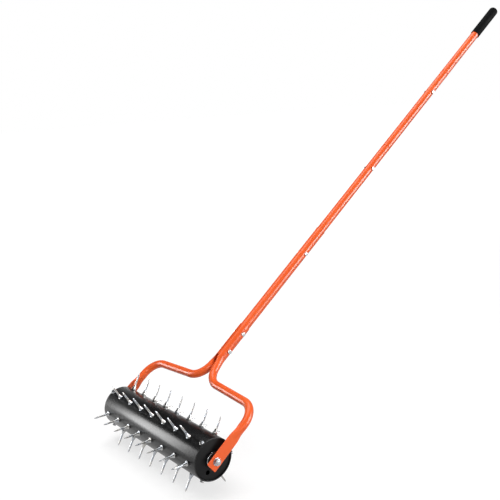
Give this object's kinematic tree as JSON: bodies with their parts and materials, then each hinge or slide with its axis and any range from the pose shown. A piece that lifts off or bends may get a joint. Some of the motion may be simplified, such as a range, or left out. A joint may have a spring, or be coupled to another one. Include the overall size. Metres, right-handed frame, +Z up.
{
  "type": "rolling spike aerator",
  "caption": "Push-pull lawn aerator: a spiked drum that rolls on bearings between the arms of a tubular fork, with a long jointed tubular handle and a rubber grip.",
  "frame": {"origin": "on the ground at the middle of the footprint's bounding box, midway along the drum", "axes": "+X along the axle towards the right end, +Y towards the handle's end, +Z up"},
  "size_m": [0.5038, 1.544, 1.1792],
  "materials": {
    "orange_paint": "glossy powder coat",
    "black_paint": "satin paint",
    "bright_zinc": "bright zinc plate",
    "bearing_steel": "ground steel",
    "plain_steel": "turned steel",
    "shield_rubber": "dull moulded seal",
    "grip_rubber": "matte"
  },
  "bodies": {
    "frame": {"axle": "plain_steel", "hand_grip": "grip_rubber", "handle_joint_1_bolt": "bright_zinc", "handle_joint_1_nut": "bright_zinc", "handle_joint_2_bolt": "bright_zinc", "handle_joint_2_nut": "bright_zinc", "handle_joint_3_bolt": "bright_zinc", "handle_joint_3_nut": "bright_zinc", "handle_section_1": "orange_paint", "handle_section_2": "orange_paint", "handle_section_3": "orange_paint", "handle_section_4": "orange_paint", "left_axle_nut": "bright_zinc", "left_axle_spacer": "plain_steel", "left_axle_washer": "bright_zinc", "left_bearing_inner_ring": "bearing_steel", "left_fork_tube": "orange_paint", "lower_fork_bolt": "bright_zinc", "lower_fork_nut": "bright_zinc", "right_axle_nut": "bright_zinc", "right_axle_spacer": "plain_steel", "right_axle_washer": "bright_zinc", "right_bearing_inner_ring": "bearing_steel", "right_fork_tube": "orange_paint", "upper_fork_bolt": "bright_zinc", "upper_fork_nut": "bright_zinc"},
    "roller": {"drum_shell": "black_paint", "left_bearing_ball_cage": "bearing_steel", "left_bearing_outer_ring": "bearing_steel", "left_bearing_shield": "shield_rubber", "left_cap_screw_1": "bright_zinc", "left_cap_screw_2": "bright_zinc", "left_cap_screw_3": "bright_zinc", "left_end_cap": "black_paint", "right_bearing_ball_cage": "bearing_steel", "right_bearing_outer_ring": "bearing_steel", "right_bearing_shield": "shield_rubber", "right_cap_screw_1": "bright_zinc", "right_cap_screw_2": "bright_zinc", "right_cap_screw_3": "bright_zinc", "right_end_cap": "black_paint", "spike_row_1": "bright_zinc", "spike_row_2": "bright_zinc", "spike_row_3": "bright_zinc", "spike_row_4": "bright_zinc", "spike_row_5": "bright_zinc", "spike_row_6": "bright_zinc"}
  },
  "joints": [
    {"name": "roller_spin", "type": "hinge", "parent": "frame", "child": "roller", "pos_m": [0, -0.67157, 0.0873], "axis": [1, 0, 0], "continuous": true}
  ]
}
